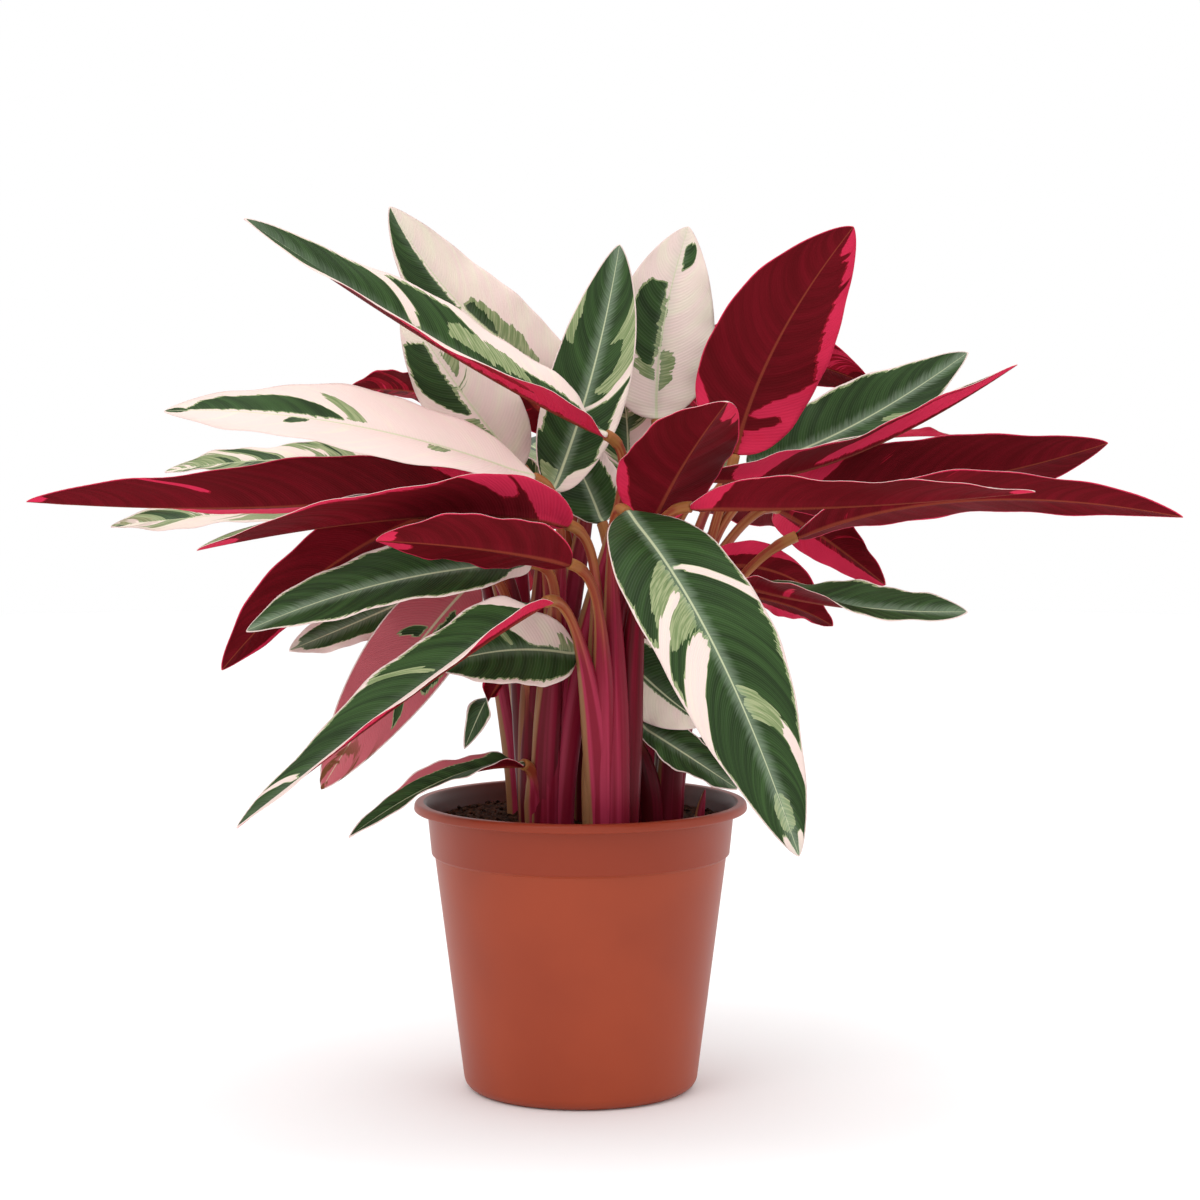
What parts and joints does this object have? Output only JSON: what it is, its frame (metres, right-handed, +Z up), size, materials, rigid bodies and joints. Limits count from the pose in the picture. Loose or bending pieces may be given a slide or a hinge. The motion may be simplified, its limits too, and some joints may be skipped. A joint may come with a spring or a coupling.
{
  "type": "potted prayer plant",
  "caption": "Leafy houseplant with long pointed cream, green and crimson leaves on upright canes, in a tapered plastic nursery pot of soil.",
  "frame": {"origin": "centre of the pot's base, on the surface that the pot stands on", "axes": "+Z up; +X to the viewer's right, along the plant's widest spread; -Y towards the viewer, the side the picture shows"},
  "size_m": [0.5886, 0.3869, 0.4556],
  "materials": {
    "pot_plastic": "satin",
    "potting_soil": "matte",
    "stem": "satin",
    "leaf": "satin"
  },
  "bodies": {
    "root": {"pot": "pot_plastic", "soil": "potting_soil", "cane_left": "stem", "cane_middle": "stem", "cane_front": "stem", "cane_right": "stem", "cane_back_left": "stem", "cane_back_right": "stem", "new_shoot": "stem", "leaf_01": "leaf", "leaf_02": "leaf", "leaf_03": "leaf", "leaf_04": "leaf", "leaf_05": "leaf", "leaf_06": "leaf", "leaf_07": "leaf", "leaf_08": "leaf", "leaf_09": "leaf", "leaf_10": "leaf", "leaf_11": "leaf", "leaf_12": "leaf", "leaf_13": "leaf", "leaf_14": "leaf", "leaf_15": "leaf", "leaf_16": "leaf", "leaf_17": "leaf", "leaf_18": "leaf", "leaf_19": "leaf", "leaf_20": "leaf", "leaf_21": "leaf", "leaf_22": "leaf", "leaf_23": "leaf", "leaf_24": "leaf", "leaf_25": "leaf", "leaf_26": "leaf", "leaf_27": "leaf", "leaf_28": "leaf", "leaf_29": "leaf", "leaf_30": "leaf", "leaf_31": "leaf", "leaf_32": "leaf", "leaf_33": "leaf", "leaf_34": "leaf", "leaf_35": "leaf", "leaf_36": "leaf", "leaf_37": "leaf", "leaf_38": "leaf", "leaf_39": "leaf", "leaf_40": "leaf", "leaf_41": "leaf", "leaf_42": "leaf", "leaf_43": "leaf", "leaf_44": "leaf", "leaf_45": "leaf", "leaf_46": "leaf", "leaf_47": "leaf", "leaf_48": "leaf"}
  },
  "joints": []
}
